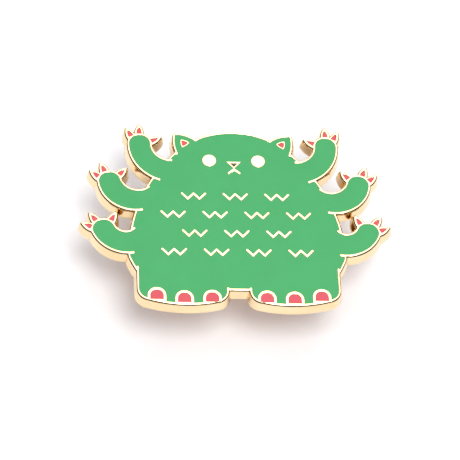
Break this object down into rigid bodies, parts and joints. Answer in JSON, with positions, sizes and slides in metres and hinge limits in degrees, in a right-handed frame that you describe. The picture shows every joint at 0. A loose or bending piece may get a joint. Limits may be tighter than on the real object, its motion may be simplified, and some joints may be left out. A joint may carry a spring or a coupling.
{
  "type": "enamel pin",
  "caption": "Hard enamel lapel pin: gold-plated plate shaped as a green many-armed cat monster with pink claws and toes, two soldered posts and two butterfly clutches.",
  "frame": {"origin": "on the surface that the pin's clutches stand on, under the middle of the plate's box, with the pin lying face up", "axes": "+X to the viewer's right along the pin's width, +Y towards the head, +Z out of the enamelled face"},
  "size_m": [0.0402, 0.0276, 0.0095],
  "materials": {
    "gold_plated_plate": "polished gold plating",
    "green_enamel": "hard enamel ground flush and polished",
    "pink_enamel": "hard enamel ground flush and polished",
    "dark_enamel": "hard enamel ground flush and polished",
    "plated_post": "gold plating over drawn wire, with a soldered head",
    "clutch_brass": "stamped brass sheet, bright gold wash",
    "spring_wire": "drawn spring wire"
  },
  "bodies": {
    "pin": {"base_plate": "gold_plated_plate", "enamel_green": "green_enamel", "enamel_nose": "dark_enamel", "enamel_ear_left": "pink_enamel", "enamel_ear_right": "pink_enamel", "enamel_claw_left_upper_outer": "pink_enamel", "enamel_claw_left_upper_inner": "pink_enamel", "enamel_claw_left_upper_thumb": "pink_enamel", "enamel_claw_left_middle_outer": "pink_enamel", "enamel_claw_left_middle_inner": "pink_enamel", "enamel_claw_left_middle_thumb": "pink_enamel", "enamel_claw_left_lower_outer": "pink_enamel", "enamel_claw_left_lower_inner": "pink_enamel", "enamel_claw_left_lower_thumb": "pink_enamel", "enamel_claw_right_upper_outer": "pink_enamel", "enamel_claw_right_upper_inner": "pink_enamel", "enamel_claw_right_upper_thumb": "pink_enamel", "enamel_claw_right_middle_outer": "pink_enamel", "enamel_claw_right_middle_inner": "pink_enamel", "enamel_claw_right_middle_thumb": "pink_enamel", "enamel_claw_right_lower_outer": "pink_enamel", "enamel_claw_right_lower_inner": "pink_enamel", "enamel_claw_right_lower_thumb": "pink_enamel", "enamel_toe_left_outer": "pink_enamel", "enamel_toe_left_middle": "pink_enamel", "enamel_toe_left_inner": "pink_enamel", "enamel_toe_right_outer": "pink_enamel", "enamel_toe_right_middle": "pink_enamel", "enamel_toe_right_inner": "pink_enamel", "post_left": "plated_post", "post_right": "plated_post"},
    "clutch_left": {"clutch_left_base": "clutch_brass", "clutch_left_cap": "clutch_brass", "clutch_left_spring_wire": "spring_wire"},
    "wing_left_front": {"clutch_left_wing_front": "clutch_brass"},
    "wing_left_back": {"clutch_left_wing_back": "clutch_brass"},
    "clutch_right": {"clutch_right_base": "clutch_brass", "clutch_right_cap": "clutch_brass", "clutch_right_spring_wire": "spring_wire"},
    "wing_right_front": {"clutch_right_wing_front": "clutch_brass"},
    "wing_right_back": {"clutch_right_wing_back": "clutch_brass"}
  },
  "joints": [
    {"name": "clutch_left_pull", "type": "slide", "parent": "pin", "child": "clutch_left", "axis": [0, 0, -1], "range_m": [0, 0.012]},
    {"name": "wing_left_front_squeeze", "type": "hinge", "parent": "clutch_left", "child": "wing_left_front", "pos_m": [-0.0075, -0.0034, 0.003], "axis": [1, 0, 0], "range_deg": [0, 12], "stiffness_Nm_per_rad": 0.02},
    {"name": "wing_left_back_squeeze", "type": "hinge", "parent": "clutch_left", "child": "wing_left_back", "pos_m": [-0.0075, 0.0028, 0.003], "axis": [-1, 0, 0], "range_deg": [0, 12], "stiffness_Nm_per_rad": 0.02},
    {"name": "clutch_right_pull", "type": "slide", "parent": "pin", "child": "clutch_right", "axis": [0, 0, -1], "range_m": [0, 0.012]},
    {"name": "wing_right_front_squeeze", "type": "hinge", "parent": "clutch_right", "child": "wing_right_front", "pos_m": [0.0075, -0.0034, 0.003], "axis": [1, 0, 0], "range_deg": [0, 12], "stiffness_Nm_per_rad": 0.02},
    {"name": "wing_right_back_squeeze", "type": "hinge", "parent": "clutch_right", "child": "wing_right_back", "pos_m": [0.0075, 0.0028, 0.003], "axis": [-1, 0, 0], "range_deg": [0, 12], "stiffness_Nm_per_rad": 0.02}
  ]
}
